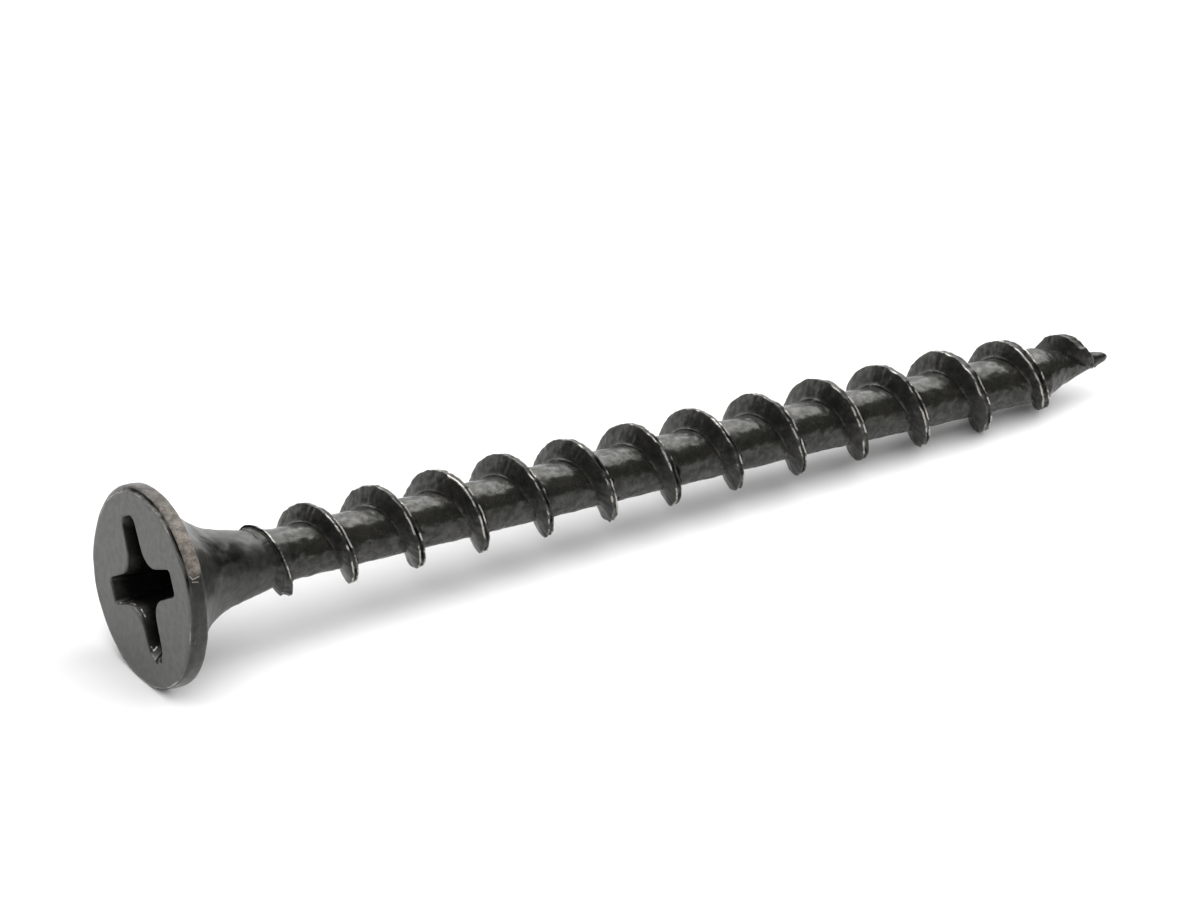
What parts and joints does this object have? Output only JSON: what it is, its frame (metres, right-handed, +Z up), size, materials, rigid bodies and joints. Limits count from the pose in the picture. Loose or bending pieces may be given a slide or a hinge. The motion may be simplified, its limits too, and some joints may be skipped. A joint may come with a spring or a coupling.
{
  "type": "wood screw",
  "caption": "Black phosphated wood screw with a bugle head, a cross recess, a coarse right-hand thread and a gimlet point; it fastens sheet or timber to wood.",
  "frame": {"origin": "centre of the head's flat top face", "axes": "+X along the screw's axis from the head to the point, +Z up for the screw as it lies on a table, -Y towards the viewer"},
  "size_m": [0.0448, 0.008, 0.008],
  "materials": {
    "head_phosphate": "matte",
    "body_phosphate": "matte",
    "thread_phosphate": "satin"
  },
  "bodies": {
    "root": {"bugle_head": "head_phosphate", "neck": "head_phosphate", "thread_core": "body_phosphate", "gimlet_point": "body_phosphate", "starting_flight": "thread_phosphate", "thread_flight": "thread_phosphate", "point_flight": "thread_phosphate"}
  },
  "joints": []
}
